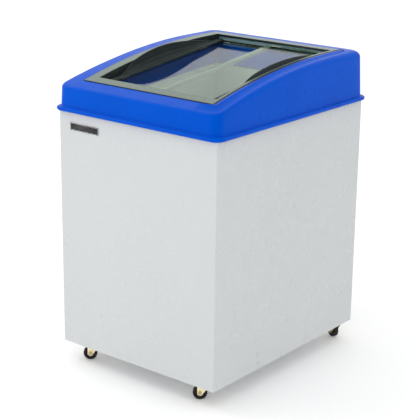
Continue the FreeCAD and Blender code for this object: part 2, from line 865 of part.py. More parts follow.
def make_caster_screws():
    screws = []
    for x, y, _ in swivels.values():
        for place in caster_screw_places(x, y):
            head_top = plate_top - plate_thick
            head = cylinder(4, (*place, head_top - 2.2), (*place, head_top))
            shank = cylinder(2.2, (*place, head_top), (*place, plate_top - 0.05))
            screws.append(fused([head, shank]))
    return group(screws)


def make_caster_fork(name):
    """Bent sheet: a round top with the swivel hole, and two tapered legs to the axle."""
    crown = cylinder(17, (0, 0, fork_top - fork_sheet), (0, 0, fork_top))
    bridge = box(-3, trail + 7, -leg_inner - 1.8, leg_inner + 1.8, fork_top - fork_sheet, fork_top)
    crown = fused([crown, bridge])
    legs = []
    boss = 7.5
    z = wheel_radius
    for low_y in (-leg_inner - 1.8, leg_inner):
        corners = [
            V(trail + boss, low_y, z),
            V(trail + boss, low_y, fork_top),
            V(-12, low_y, fork_top),
            V(-12, low_y, fork_top - 5),
            V(trail - boss * 0.75, low_y, z - boss * 0.66),
        ]
        leg = Part.Face(Part.makePolygon(corners + corners[:1])).extrude(V(0, 1.8, 0))
        round_end = cylinder(boss, (trail, low_y, z), (trail, low_y + 1.8, z))
        legs.append(leg.fuse(round_end))
    fork = fused([crown] + legs)
    fork = fork.cut(cylinder(king_radius + running, (0, 0, 30), (0, 0, 60)))
    fork = fork.cut(cylinder(axle_radius + running, (trail, -30, z), (trail, 30, z)))
    return placed(fork, name)


def hexagon(across, start, end):
    """A hexagonal nut along Y."""
    radius = across / math.sqrt(3)
    corners = []
    for i in range(7):
        angle = math.radians(60 * i)
        x, z = start[0] + radius * math.cos(angle), start[2] + radius * math.sin(angle)
        corners.append(V(x, start[1], z))
    return Part.Face(Part.makePolygon(corners)).extrude(V(0, end - start[1], 0))


def make_caster_axle(name):
    out = leg_inner + 1.9
    z = wheel_radius
    shank = cylinder(axle_radius, (trail, -out - 4.5, z), (trail, out + 5.5, z))
    head = hexagon(10, (trail, -out - 4, z), -out)
    nut = hexagon(10, (trail, out, z), out + 4.5)
    return placed(fused([shank, head, nut]), name)


def make_caster_wheel(name):
    half = wheel_width / 2
    z = wheel_radius
    tread = cylinder(wheel_radius, (trail, -half, z), (trail, half, z))
    tread = tread.makeFillet(2.5, [e for e in tread.Edges if e.Curve.TypeId == "Part::GeomCircle"])
    hub = cylinder(6.5, (trail, -half - 1.2, z), (trail, half + 1.2, z))
    bore = cylinder(axle_radius + running, (trail, -30, z), (trail, 30, z))
    return placed(fused([tread, hub]).cut(bore), name)


# ---- all nodes -------------------------------------------------------------------------------


def all_parts():
    parts = {
        "outer_cabinet": make_outer_cabinet(),
        "base_pan": make_base_pan(),
        "bay_partition": make_bay_partition(),
        "foam_insulation": make_foam(),
        "inner_liner": make_inner_liner(),
        "evaporator_coil": make_evaporator_coil(),
        "top_surround": make_top_surround(),
        "inner_collar": make_inner_collar(),
        "frame_front_rail": make_front_rail(),
        "frame_rear_rail": make_rear_rail(),
        "frame_left_side": make_frame_side(-1),
        "frame_right_side": make_frame_side(1),
        "frame_gasket": make_frame_gasket(),
        "badge_plate": make_badge(),
        "rear_grille": make_rear_grille(),
        "grille_screws": make_grille_screws(),
        "thermostat": make_thermostat(),
        "thermostat_knob": make_thermostat_knob(),
        "cord_gland": make_cord_gland(),
        "compressor": make_compressor(),
        "compressor_grommets": make_compressor_grommets(),
        "compressor_bolts": make_compressor_bolts(),
        "start_relay": make_start_relay(),
        "condenser_tube": make_condenser_tube(),
        "condenser_fins": make_condenser_fins(),
        "fan_shroud": make_fan_shroud(),
        "fan_motor": make_fan_motor(),
        "fan_blade": make_fan_blade(),
        "filter_drier": make_filter_drier(),
        "discharge_pipe": make_discharge_pipe(),
        "suction_pipe": make_suction_pipe(),
        "drain_tube": make_drain_tube(),
        "drain_plug": make_drain_plug(),
        "caster_screws": make_caster_screws(),
    }
    for name, side in (("left", -1), ("right", 1)):
        parts["glass_" + name] = make_glass(side)
        parts["handle_" + name] = make_handle(side)
        parts["edge_seal_" + name] = make_edge_seal(side)
        parts["glides_" + name] = make_glides(side)
    for name in swivels:
        parts["caster_plate_" + name] = make_caster_plate(name)
        parts["caster_fork_" + name] = make_caster_fork(name)
        parts["caster_axle_" + name] = make_caster_axle(name)
        parts["caster_wheel_" + name] = make_caster_wheel(name)
    return parts


os.makedirs("parts", exist_ok=True)
for node, shape in all_parts().items():
    shape.exportStep("parts/" + node + ".step")
    print(node, len(shape.Solids), "solids", shape.isValid(), round(shape.Volume / 1000), "cm3")
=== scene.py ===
"""Looks of the chest freezer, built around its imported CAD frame. Lengths are in metres."""

import json
import math

import bmesh
import bpy
from mathutils import Matrix, Vector


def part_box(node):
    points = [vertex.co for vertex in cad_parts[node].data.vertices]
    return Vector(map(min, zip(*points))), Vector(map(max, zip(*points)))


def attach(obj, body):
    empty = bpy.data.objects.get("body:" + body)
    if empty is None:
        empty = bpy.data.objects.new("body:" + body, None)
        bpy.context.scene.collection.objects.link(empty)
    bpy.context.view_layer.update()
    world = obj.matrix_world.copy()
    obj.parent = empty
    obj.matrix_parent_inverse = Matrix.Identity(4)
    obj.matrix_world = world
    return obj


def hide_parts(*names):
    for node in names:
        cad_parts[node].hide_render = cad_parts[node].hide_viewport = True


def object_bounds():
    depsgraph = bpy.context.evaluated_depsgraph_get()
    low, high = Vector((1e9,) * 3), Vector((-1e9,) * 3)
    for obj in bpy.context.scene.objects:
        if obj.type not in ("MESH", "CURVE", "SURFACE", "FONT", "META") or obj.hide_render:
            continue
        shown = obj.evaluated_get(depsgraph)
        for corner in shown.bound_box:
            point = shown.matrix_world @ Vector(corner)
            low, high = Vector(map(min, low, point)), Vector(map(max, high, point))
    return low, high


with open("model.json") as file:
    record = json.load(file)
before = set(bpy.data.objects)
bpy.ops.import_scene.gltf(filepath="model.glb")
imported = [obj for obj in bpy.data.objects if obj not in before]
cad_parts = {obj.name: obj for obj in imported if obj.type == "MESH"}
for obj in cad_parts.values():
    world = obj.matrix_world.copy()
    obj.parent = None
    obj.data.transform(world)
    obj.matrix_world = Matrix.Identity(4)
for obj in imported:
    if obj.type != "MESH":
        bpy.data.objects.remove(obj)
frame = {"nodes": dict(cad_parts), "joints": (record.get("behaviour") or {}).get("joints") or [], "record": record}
cad_low, cad_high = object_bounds()
nodes = frame["nodes"]
millimetre = 0.001


# Materials -------------------------------------------------------------------


class Finish:
    """A Principled material whose colour, roughness and bump follow patterns in the piece's own space."""

    def __init__(self, name, colour, roughness, metallic=0.0):
        self.material = bpy.data.materials.new(name)
        self.material.use_nodes = True
        self.tree = self.material.node_tree
        self.shader = self.tree.nodes["Principled BSDF"]
        self.place = self.tree.nodes.new("ShaderNodeTexCoord").outputs["Object"]
        self.colour = colour
        self.shader.inputs["Base Color"].default_value = (*colour, 1)
        self.shader.inputs["Roughness"].default_value = roughness
        self.shader.inputs["Metallic"].default_value = metallic

    def set(self, **values):
        """Values that are the same all over, by socket name with underscores for spaces."""
        for name, value in values.items():
            self.shader.inputs[name.replace("_", " ")].default_value = value
        return self

    def stretched(self, factors):
        """The piece's own space, stretched, for a grain that runs one way."""
        mapping = self.tree.nodes.new("ShaderNodeMapping")
        mapping.inputs["Scale"].default_value = factors
        self.tree.links.new(self.place, mapping.inputs["Vector"])
        return mapping.outputs["Vector"]

    def noise(self, size, detail=2.0, factors=(1, 1, 1)):
        """Soft blotches of about that size in metres."""
        node = self.tree.nodes.new("ShaderNodeTexNoise")
        node.inputs["Scale"].default_value = 1 / size
        node.inputs["Detail"].default_value = detail
        self.tree.links.new(self.stretched(factors), node.inputs["Vector"])
        return node.outputs["Fac"]

    def cells(self, size, factors=(1, 1, 1)):
        """Rounded grains of about that size in metres."""
        node = self.tree.nodes.new("ShaderNodeTexVoronoi")
        node.inputs["Scale"].default_value = 1 / size
        self.tree.links.new(self.stretched(factors), node.inputs["Vector"])
        return node.outputs["Distance"]

    def edges(self):
        """High along outward edges, low in hollows."""
        return self.tree.nodes.new("ShaderNodeNewGeometry").outputs["Pointiness"]

    def facing(self, axis):
        """High where the surface looks along that axis, low where it looks the other way."""
        split = self.tree.nodes.new("ShaderNodeSeparateXYZ")
        normal = self.tree.nodes.new("ShaderNodeNewGeometry").outputs["True Normal"]
        self.tree.links.new(normal, split.inputs["Vector"])
        return split.outputs[axis]

    def along(self, axis):
        """Distance along one of the piece's own axes, in metres."""
        split = self.tree.nodes.new("ShaderNodeSeparateXYZ")
        self.tree.links.new(self.place, split.inputs["Vector"])
        return split.outputs[axis]

    def remap(self, pattern, start, end, low, high):
        """The pattern's stretch from start to end, as values from low to high."""
        node = self.tree.nodes.new("ShaderNodeMapRange")
        for name, value in zip(("From Min", "From Max", "To Min", "To Max"), (start, end, low, high)):
            node.inputs[name].default_value = value
        self.tree.links.new(pattern, node.inputs["Value"])
        return node.outputs["Result"]

    def tint(self, pattern, colour, start=0.35, end=0.7, share=1.0):
        """Another colour where the pattern is high, over the colour so far."""
        node = self.tree.nodes.new("ShaderNodeMix")
        node.data_type = "RGBA"
        socket = self.shader.inputs["Base Color"]
        if socket.is_linked:
            self.tree.links.new(socket.links[0].from_socket, node.inputs[6])
        node.inputs[6].default_value = (*self.colour, 1)
        node.inputs[7].default_value = (*colour, 1)
        self.tree.links.new(self.remap(pattern, start, end, 0, share), node.inputs[0])
        self.tree.links.new(node.outputs[2], socket)
        return self

    def rough(self, pattern, low, high, start=0.3, end=0.7):
        """Roughness between two values, following the pattern."""
        result = self.remap(pattern, start, end, low, high)
        self.tree.links.new(result, self.shader.inputs["Roughness"])
        return self

    def bump(self, pattern, height):
        """Relief of that height in metres, on top of any relief so far."""
        node = self.tree.nodes.new("ShaderNodeBump")
        node.inputs["Distance"].default_value = height
        self.tree.links.new(pattern, node.inputs["Height"])
        socket = self.shader.inputs["Normal"]
        if socket.is_linked:
            self.tree.links.new(socket.links[0].from_socket, node.inputs["Normal"])
        self.tree.links.new(node.outputs["Normal"], socket)
        return self


def white_enamel():
    """Smooth sprayed enamel with a faint orange peel."""
    finish = Finish("white_enamel", (0.605, 0.625, 0.632), 0.3)
    finish.tint(finish.noise(0.4), (0.59, 0.61, 0.618))
    finish.rough(finish.noise(0.06, 3), 0.24, 0.34)
    return finish.bump(finish.noise(0.004), 0.00001)


def blue_plastic():
    """Glossy moulded plastic with a fine eggshell grain."""
    finish = Finish("blue_plastic", (0.0, 0.087, 0.61), 0.34)
    finish.tint(finish.noise(0.12, 3), (0.0, 0.080, 0.57))
    finish.set(IOR=1.4, Specular_IOR_Level=0.14, Specular_Tint=(0.1, 0.35, 1.0, 1.0))
    finish.rough(finish.noise(0.03, 4), 0.26, 0.38)
    return finish.bump(finish.cells(0.0011), 0.00003)


def frame_grey():
    """Satin extrusion, drawn lengthways, charcoal with painted light and shade: painted light makes faces looking
    up grey-green and the rear rail's web blue-grey, painted shadow darkens the web under its lip, and painted
    shade darkens faces looking right.
    """
    finish = Finish("frame_grey", (0.012, 0.022, 0.023), 0.32, 0.2)
    # painted light: faces looking forward (-Y) lit blue-grey
    finish.tint(finish.facing("Y"), (0.26, 0.42, 0.48), -0.5, -0.8)
    # charcoal again in front of y = 0.2615, so that painted blue-grey light stays on the rear rail's web
    finish.tint(finish.along("Y"), finish.colour, 0.2625, 0.2615)
    # painted shadow: charcoal again above z = 0.870, the web's top in the shade of the lip
    finish.tint(finish.along("Z"), finish.colour, 0.8680, 0.8700)
    # painted light: faces looking up lit grey-green
    finish.tint(finish.facing("Z"), (0.165, 0.215, 0.18), 0.5, 0.8)
    # painted light: the rear rail behind y = 0.264, its lit web, pale blue-grey
    finish.tint(finish.along("Y"), (0.165, 0.235, 0.28), 0.2635, 0.2640)
    # painted shade: faces looking right (+X) darkened
    finish.tint(finish.facing("X"), (0.010, 0.018, 0.016), 0.6, 0.8)
    finish.tint(finish.noise(0.002, 2, (1, 0.02, 1)), (0.10, 0.14, 0.12), 0.4, 0.8, 0.15)
    finish.rough(finish.noise(0.01, 3), 0.26, 0.40)
    return finish.bump(finish.noise(0.0008, 2, (1, 0.02, 1)), 0.00001)


def charcoal_plastic():
    """Satin charcoal plastic with a fine sparked texture and a painted highlight that makes its outward edges
    lighter.
    """
    finish = Finish("charcoal_plastic", (0.014, 0.023, 0.023), 0.42)
    finish.tint(finish.noise(0.05, 3), (0.019, 0.029, 0.029))
    # painted highlight: lighter along outward edges and ridges
    finish.tint(finish.edges(), (0.04, 0.05, 0.05), 0.52, 0.62, 0.6)
    finish.rough(finish.noise(0.008, 4), 0.38, 0.56)
    finish.set(Specular_IOR_Level=0.25)
    return finish.bump(finish.cells(0.0007), 0.00004)


def black_plastic():
    """Black moulded plastic with a fine texture."""
    finish = Finish("black_plastic", (0.018, 0.018, 0.020), 0.45)
    finish.tint(finish.noise(0.02, 3), (0.03, 0.03, 0.032))
    finish.rough(finish.noise(0.006, 3), 0.38, 0.55)
    return finish.bump(finish.cells(0.0008), 0.00004)


def white_plastic():
    """White nylon, slightly waxy."""
    finish = Finish("white_plastic", (0.70, 0.71, 0.69), 0.4)
    finish.tint(finish.noise(0.01, 3), (0.62, 0.63, 0.60))
    finish.rough(finish.noise(0.004, 3), 0.32, 0.48)
    return finish.set(Subsurface_Weight=0.1).bump(finish.noise(0.0008), 0.00002)


def clear_plastic():
    """Soft clear sealing strip, slightly cloudy."""
    finish = Finish("clear_plastic", (0.46, 0.54, 0.48), 0.2)
    finish.tint(finish.noise(0.01, 3), (0.40, 0.48, 0.42))
    finish.rough(finish.noise(0.004, 3), 0.12, 0.3)
    return finish.bump(finish.noise(0.002), 0.00003)


def black_rubber():
    """Dull black rubber with a dusty bloom."""
    finish = Finish("black_rubber", (0.014, 0.014, 0.015), 0.7)
    finish.tint(finish.noise(0.008, 4), (0.04, 0.04, 0.042), 0.5, 0.75)
    finish.rough(finish.noise(0.003, 3), 0.6, 0.85)
    return finish.bump(finish.noise(0.0006, 3), 0.00005)


def black_tyre():
    """Hard black wheel tread, scuffed grey."""
    finish = Finish("black_tyre", (0.009, 0.0085, 0.010), 0.5)
    finish.set(Specular_IOR_Level=0.3)
    finish.tint(finish.noise(0.004, 5), (0.03, 0.029, 0.03), 0.5, 0.8)
    finish.rough(finish.noise(0.003, 3), 0.42, 0.7)
    return finish.bump(finish.noise(0.0007, 3), 0.00008)


def liner_white():
    """White-coated aluminium liner with a hammered emboss, cool and shaded."""
    finish = Finish("liner_white", (0.70, 0.74, 0.71), 0.4)
    finish.tint(finish.noise(0.15, 3), (0.66, 0.71, 0.68))
    finish.rough(finish.noise(0.01, 3), 0.34, 0.5)
    return finish.bump(finish.cells(0.006), 0.0003)


def metal(name, colour, second, low, high, grain=0.001, factors=(1, 1, 1)):
    """Bare or plated metal, mottled and finely drawn."""
    finish = Finish(name, colour, low, 1.0)
    finish.tint(finish.noise(0.012, 4), second)
    finish.rough(finish.noise(0.004, 4), low, high)
    return finish.bump(finish.noise(grain, 2, factors), 0.00002)


def galvanised_steel():
    """Zinc spangle in crystals of a few millimetres."""
    finish = metal("galvanised_steel", (0.50, 0.52, 0.53), (0.42, 0.44, 0.46), 0.34, 0.5)
    return finish.tint(finish.cells(0.012), (0.62, 0.64, 0.66), 0.2, 0.9, 0.7)


def black_enamel():
    """Thick black enamel, glossy and a little wavy."""
    finish = Finish("black_enamel", (0.012, 0.012, 0.013), 0.25)
    finish.tint(finish.noise(0.03, 3), (0.022, 0.022, 0.024))
    finish.rough(finish.noise(0.01, 3), 0.2, 0.38)
    return finish.bump(finish.noise(0.004), 0.0001)


def foam():
    """Pale yellow rigid foam, full of small cells."""
    finish = Finish("foam", (0.78, 0.66, 0.36), 0.9)
    finish.tint(finish.noise(0.02, 4), (0.66, 0.54, 0.28))
    finish.rough(finish.noise(0.01, 3), 0.85, 0.95)
    return finish.bump(finish.cells(0.002), 0.0004)


def lid_glass():
    """Clear, slightly green low-glare glass that lets lamps through to what is below."""
    finish = Finish("lid_glass", (0.84, 0.96, 0.85), 0.0)
    finish.set(Transmission_Weight=1.0, IOR=1.2)
    finish.rough(finish.noise(0.03, 4), 0.0, 0.02)
    tree = finish.tree
    clear = tree.nodes.new("ShaderNodeBsdfTransparent")
    clear.inputs["Color"].default_value = (0.88, 0.94, 0.89, 1)
    mix = tree.nodes.new("ShaderNodeMixShader")
    ray = tree.nodes.new("ShaderNodeLightPath")
    output = tree.nodes["Material Output"]
    tree.links.new(ray.outputs["Is Shadow Ray"], mix.inputs["Fac"])
    tree.links.new(finish.shader.outputs["BSDF"], mix.inputs[1])
    tree.links.new(clear.outputs["BSDF"], mix.inputs[2])
    tree.links.new(mix.outputs["Shader"], output.inputs["Surface"])
    return finish


finishes = {
    "white_enamel": white_enamel(),
    "galvanised_steel": galvanised_steel(),
    "foam": foam(),
    "liner_white": liner_white(),
    "copper_tube": metal("copper_tube", (0.80, 0.42, 0.26), (0.55, 0.30, 0.20), 0.25, 0.42),
    "blue_plastic": blue_plastic(),
    "frame_grey": frame_grey(),
    "black_rubber": black_rubber(),
    "badge_metal": metal("badge_metal", (0.86, 0.86, 0.86), (0.78, 0.78, 0.79), 0.2, 0.34),
    "zinc": metal("zinc", (0.62, 0.54, 0.36), (0.48, 0.40, 0.24), 0.25, 0.42),
    "black_plastic": black_plastic(),
    "black_enamel": black_enamel(),
    "aluminium": metal("aluminium", (0.72, 0.73, 0.74), (0.60, 0.61, 0.63), 0.25, 0.4),
    "white_plastic": white_plastic(),
    "lid_glass": lid_glass(),
    "charcoal_plastic": charcoal_plastic(),
    "clear_plastic": clear_plastic(),
    "yellow_zinc": metal("yellow_zinc", (0.93, 0.83, 0.56), (0.80, 0.66, 0.38), 0.22, 0.4),
    "black_tyre": black_tyre(),
}


# Building pieces -------------------------------------------------------------


def piece(name, form, slot, body, stands_for=()):
    """A bmesh made into a smooth-shaded piece with a slot's finish that rides a body."""
    bmesh.ops.recalc_face_normals(form, faces=form.faces)
    for face in form.faces:
        face.smooth = True
    mesh = bpy.data.meshes.new(name)
    form.to_mesh(mesh)
    form.free()
    mesh.materials.append(finishes[slot].material)
    thing = bpy.data.objects.new(name, mesh)
    bpy.context.scene.collection.objects.link(thing)
    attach(thing, body)
    if stands_for:
        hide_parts(*stands_for)
        dressed.update(stands_for)
    return thing


def ring(left, right, front, rear, radius, corner_steps=8, side_steps=24):
    """Points of a rounded rectangle, from its front right corner round by the rear."""
    near, far = front + radius, rear - radius
    middles = ((right - radius, near), (right - radius, far), (left + radius, far), (left + radius, near))
    arcs = []
    for quarter, middle in enumerate(middles):
        middle = Vector(middle)
        angles = [math.radians(90 * (quarter - 1 + k / corner_steps)) for k in range(corner_steps + 1)]
        arcs.append([middle + radius * Vector((math.cos(a), math.sin(a))) for a in angles])
    points = []
    for quarter, arc in enumerate(arcs):
        following = arcs[(quarter + 1) % 4][0]
        points += arc
        points += [arc[-1].lerp(following, k / side_steps) for k in range(1, side_steps)]
    return points


def loft(form, loops, closed_ends=False):
    """Joins loops of points, each with as many points as the next, into a skin."""
    rows = [[form.verts.new(point) for point in loop] for loop in loops]
    for low, high in zip(rows, rows[1:]):
        for k in range(len(low)):
            n = (k + 1) % len(low)
            form.faces.new((low[k], low[n], high[n], high[k]))
    if closed_ends:
        form.faces.new(rows[0])
        form.faces.new(rows[-1])


dressed = set()


# Blue surround ---------------------------------------------------------------

arch_radius = 2.030
arch_y = 0.210
arch_top = 0.8757
bead_round = 0.0060
bead_corner = 0.030
crease = 0.0018
wall_inset = 0.0103
wall_corner = 0.026
wall_draft = math.tan(math.radians(2.2))
edge_front = 0.0065
edge_side = 0.013
edge_rear = 0.018
edge_hold = 0.020
edge_change = 0.2
surround_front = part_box("top_surround")[0].y
skin = 0.0028
skirt_in = 0.0015
skirt_tuck = 0.003
deck_under_side = 0.020
deck_under_edge = 0.003
deck_under_rail = 0.012
deck_turn_down = 0.004
deck_corner = 0.002
wall_rows = 8

# Across the low lip on the right of the lid frame: distance beyond the frame, and rise above the arch
lip_profile = ((0.0160, 0.0), (0.0145, 0.0018), (0.0060, 0.0018), (0.0055, 0.0))
lip_run = 0.02


def arch_z(y):
    """Height of the arched top, which is flat behind the arch's crest."""
    return arch_top - arch_radius + math.sqrt(arch_radius**2 - min(y - arch_y, 0) ** 2)


def edge_round(y):
    """Radius of the top edge at a depth: tight at the front, softer along the sides and at the rear."""
    front_share = min(max((y - surround_front - edge_hold) / edge_change, 0), 1)
    rear_share = min(max((y - arch_y + edge_change / 2) / edge_change, 0), 1)
    return edge_front + (edge_side - edge_front) * front_share + (edge_rear - edge_side) * rear_share


def build_surround():
    """The surround: a rolled bead, drafted walls, a rounded edge along the arch, and the deck in it."""
    low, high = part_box("top_surround")

    def at_inset(inset, radius):
        return ring(low.x + inset, high.x - inset, low.y + inset, high.y - inset, radius)

    loops = []
    bead_z = low.z + bead_round
    for angle in range(-90, 91, 15):
        a = math.radians(angle)
        inset = bead_round * (1 - math.cos(a))
        z = bead_z + bead_round * math.sin(a)
        loops.append([(*p, z) for p in at_inset(inset, bead_corner - inset)])
    skirt = at_inset(wall_inset + skirt_in, wall_corner - skirt_tuck)
    loops.insert(0, [(*p, low.z) for p in skirt])
    for angle in range(0, 91, 18):
        a = math.radians(angle)
        inset = wall_inset - crease * (1 - math.sin(a))
        z = bead_z + bead_round + crease * (1 - math.cos(a))
        loops.append([(*p, z) for p in at_inset(inset, wall_corner + crease * (1 - math.sin(a)))])
    foot_z = bead_z + bead_round + crease
    inward = [a - b for a, b in zip(at_inset(0, wall_corner), at_inset(1, wall_corner))]

    def wall_inset_at(z):
        return wall_inset + wall_draft * (z - foot_z)

    base = at_inset(0, wall_corner)
    for row in range(1, wall_rows):
        loop = []
        for point, step in zip(base, inward):
            z = foot_z + (arch_z(point.y) - edge_round(point.y) - foot_z) * row / wall_rows
            loop.append((*(point - step * wall_inset_at(z)), z))
        loops.append(loop)
    for angle in range(0, 91, 10):
        a = math.radians(angle)
        loop = []
        for point, step in zip(base, inward):
            radius = edge_round(point.y)
            turn = radius * (1 - math.cos(a))
            place = point - step * (wall_inset_at(arch_z(point.y) - radius) + turn)
            loop.append((*place, arch_z(place.y) - radius * (1 - math.sin(a))))
        loops.append(loop)
    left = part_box("frame_left_side")[0].x + deck_under_side
    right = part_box("frame_right_side")[1].x - deck_under_edge
    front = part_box("frame_front_rail")[0].y + deck_under_rail
    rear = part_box("frame_rear_rail")[1].y - deck_under_rail
    inside = ring(left, right, front, rear, deck_corner)
    rail_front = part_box("frame_front_rail")[0].y
    rail_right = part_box("frame_right_side")[1].x
    for reach, rise in lip_profile:
        step = reach / 4
        outer = ring(left - step, rail_right + reach, rail_front - step, rear + step, deck_corner)
        shares = [min(max((p.x - rail_right) / lip_run + 1, 0), 1) for p in outer]
        loops.append([(*p, arch_z(p.y) + rise * share) for p, share in zip(outer, shares)])
    loops.append([(*p, arch_z(p.y) - deck_turn_down) for p in inside])
    form = bmesh.new()
    loft(form, loops)
    surround = piece("surround", form, "blue_plastic", "cabinet", ["top_surround"])
    wall = surround.modifiers.new("wall", "SOLIDIFY")
    wall.thickness = skin
    wall.offset = -1


build_surround()


# Badge -----------------------------------------------------------------------


def prism_y(form, outline, back, front):
    """An outline of (x, z) points, solid from y = back to y = front."""
    rear = [form.verts.new((x, back, z)) for x, z in outline]
    near = [form.verts.new((x, front, z)) for x, z in outline]
    form.faces.new(rear)
    form.faces.new(near)
    for k in range(len(outline)):
        n = (k + 1) % len(outline)
        form.faces.new((rear[k], rear[n], near[n], near[k]))


def rounded_outline(left, right, low, high, radius):
    return [(p.x, p.y) for p in ring(left, right, low, high, radius, 4, 1)]


badge_border = 0.9 * millimetre
badge_corner = 1.5 * millimetre
badge_ease = 0.3 * millimetre
badge_overlap = 0.1 * millimetre
field_depth = 0.7 * millimetre
relief_depth = 0.1 * millimetre
rim_inset = 2.6 * millimetre
rim_width = 0.5 * millimetre


def build_badge():
    """A small blank plate: silver border, black field and a thin plain rim inside it."""
    low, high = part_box("badge_plate")
    face, back = low.y, high.y
    field_y = face + field_depth
    relief_y = face + relief_depth

    def loop(inset, y, radius):
        outline = rounded_outline(low.x + inset, high.x - inset, low.z + inset, high.z - inset, radius)
        return [(x, y, z) for x, z in outline]

    ease, corner, border = badge_ease, badge_corner, badge_border
    form = bmesh.new()
    rows = [loop(0, back, corner), loop(0, face + ease, corner), loop(ease, face, corner - ease)]
    rows += [loop(border - ease, face, 0.4 * corner), loop(border, face + ease, 0.2 * corner)]
    rows += [loop(border, back, 0.2 * corner), loop(0, back, corner)]
    loft(form, rows)
    bmesh.ops.remove_doubles(form, verts=form.verts, dist=0.001 * millimetre)
    piece("badge_border", form, "badge_metal", "cabinet", ["badge_plate"])

    form = bmesh.new()
    inset = border - badge_overlap
    field = rounded_outline(low.x + inset, high.x - inset, low.z + inset, high.z - inset, ease)
    prism_y(form, field, back, field_y)
    piece("badge_field", form, "black_enamel", "cabinet")

    form = bmesh.new()
    outer, inner = rim_inset, rim_inset + rim_width
    rows = [loop(outer, field_y, ease), loop(outer, relief_y, ease)]
    rows += [loop(inner, relief_y, ease), loop(inner, field_y, ease), loop(outer, field_y, ease)]
    loft(form, rows)
    bmesh.ops.remove_doubles(form, verts=form.verts, dist=0.001 * millimetre)
    piece("badge_rim", form, "badge_metal", "cabinet")


build_badge()


# Handles ---------------------------------------------------------------------

pane_slope = 0.1075
handle_width = 0.020
foot_height = 0.008
ramp_foot = -0.175
arc_from = {"left": -0.130, "right": -0.118}
crest_at = {"left": (0.035, 0.8790, 0.469, 0.900), "right": (0.070, 0.8825, 0.760, 0.760)}
arc_blend = 0.004
arc_lead = 0.030
clip_places = (-0.197, 0.141)
clip_length = 0.032
clip_reach = 0.004
clip_height = 0.005
clip_ease = 0.8 * millimetre
handle_stations = 120

# A handle's inner face: points down it, how deep it is scooped at its foot, and its two ribs
scoop_steps = 18
scoop_start = 0.0040
scoop_reach = 0.0065
rib_places = (0.36, 0.70)
rib_half = 0.04
rib_stands = 0.0012

pane_thickness = 0.004
pane_edge_gap = 0.003
pane_edge_bulge = 0.3 * millimetre
pane_edge_half = 1.9 * millimetre
pane_edge_clear = 0.05 * millimetre


def pane_top(side, y):
    """Height of a pane's top face at a depth."""
    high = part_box("glass_" + side)[1]
    return high.z - pane_slope * (high.y - y)


def smooth_max(a, b, blend):
    return (a + b + math.sqrt((a - b) ** 2 + blend**2)) / 2


def arc_height(side, y):
    """Height of a handle's arched part above its pane."""
    crest_y, crest_z, front_radius, rear_radius = crest_at[side]
    radius = front_radius if y < crest_y else rear_radius
    drop = radius - math.sqrt(radius**2 - (y - crest_y) ** 2)
    return crest_z - drop - pane_top(side, y)


def grip_height(side, y):
    """Height of a handle above its pane: a low foot, a ramp and the arched grip, eased into each other."""
    start = arc_from[side]
    climb = (y - ramp_foot) / (start - ramp_foot)
    ramp = foot_height + (arc_height(side, start) - foot_height) * climb
    arc = arc_height(side, max(y, start - arc_lead))
    body = -smooth_max(-ramp, -arc, arc_blend)
    return smooth_max(foot_height, body, arc_blend)


def rib_share(share):
    """How far a point down the inner face stands on a rib: 1 on its ridge, 0 off it."""
    near = min(abs(share - place) for place in rib_places)
    return math.cos(math.pi / 2 * near / rib_half) if near < rib_half else 0.0


def grip_section(height):
    """Outline of a handle's section: (distance in from the pane's edge, height above the pane)."""
    outline = [(0.0003, 0.0), (0.0, 0.0006), (0.0, height - 0.0020), (0.0006, height - 0.0007)]
    outline += [(0.0018, height), (0.0029, height - 0.0003), (0.0037, height - 0.0012)]
    top, low = height - 0.0016, foot_height + 0.0006
    for k in range(scoop_steps + 1):
        share = k / scoop_steps
        reach = scoop_start + scoop_reach * share**3 + rib_stands * rib_share(share)
        outline.append((reach, top + (low - top) * share))
    outline += [(0.0150, foot_height + 0.0002), (0.0182, foot_height - 0.0003)]
    outline += [(0.0195, foot_height - 0.0014), (handle_width, foot_height - 0.0030)]
    outline += [(handle_width, 0.0006), (handle_width - 0.0003, 0.0)]
    return outline


def build_handle(side):
    """A grip along the pane's outer edge, scooped and ribbed on its inner face, with two clips."""
    low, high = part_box("handle_" + side)
    edge, inward = (low.x, 1) if side == "left" else (high.x, -1)
    form = bmesh.new()
    loops = []
    for k in range(handle_stations + 1):
        y = low.y + (high.y - low.y) * k / handle_stations
        base = pane_top(side, y)
        loops.append([(edge + inward * u, y, base + h) for u, h in grip_section(grip_height(side, y))])
    loft(form, loops, True)
    piece("grip_" + side, form, "charcoal_plastic", "pane_" + side, ["handle_" + side])
    for number, y in enumerate(clip_places):
        form = bmesh.new()
        start = edge + inward * (handle_width - 0.001)
        end = edge + inward * (handle_width + clip_reach)
        bmesh.ops.create_cube(form, size=1)
        for vert in form.verts:
            x = start if vert.co.x < 0 else end
            depth = y if vert.co.y < 0 else y + clip_length
            lift = 0 if vert.co.z < 0 else clip_height
            vert.co = (x, depth, pane_top(side, depth) + lift)
        edges = list(form.edges)
        bmesh.ops.bevel(form, geom=edges, offset=clip_ease, segments=3, profile=0.5, affect="EDGES")
        piece("clip_" + side + "_" + str(number), form, "charcoal_plastic", "pane_" + side)


def build_pane_edge(side):
    """The pale ground edge that a pane has down the middle of the freezer."""
    low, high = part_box("glass_" + side)
    edge, outward = (high.x, 1) if side == "left" else (low.x, -1)
    form = bmesh.new()
    loops = []
    for y in (low.y + pane_edge_gap, high.y - pane_edge_gap):
        middle = pane_top(side, y) - pane_thickness / 2
        loop = []
        for angle in range(-90, 91, 30):
            a = math.radians(angle)
            out = pane_edge_clear + pane_edge_bulge * math.cos(a)
            loop.append((edge + outward * out, y, middle + pane_edge_half * math.sin(a)))
        loops.append(loop)
    loft(form, loops, True)
    piece("ground_edge_" + side, form, "clear_plastic", "pane_" + side)


for side in ("left", "right"):
    build_handle(side)
    build_pane_edge(side)


# Caster wheels ---------------------------------------------------------------

wheel_half = 0.007
wheel_hub_stands = 0.0012
wheel_bore = 0.00305
mould_line = 0.15 * millimetre


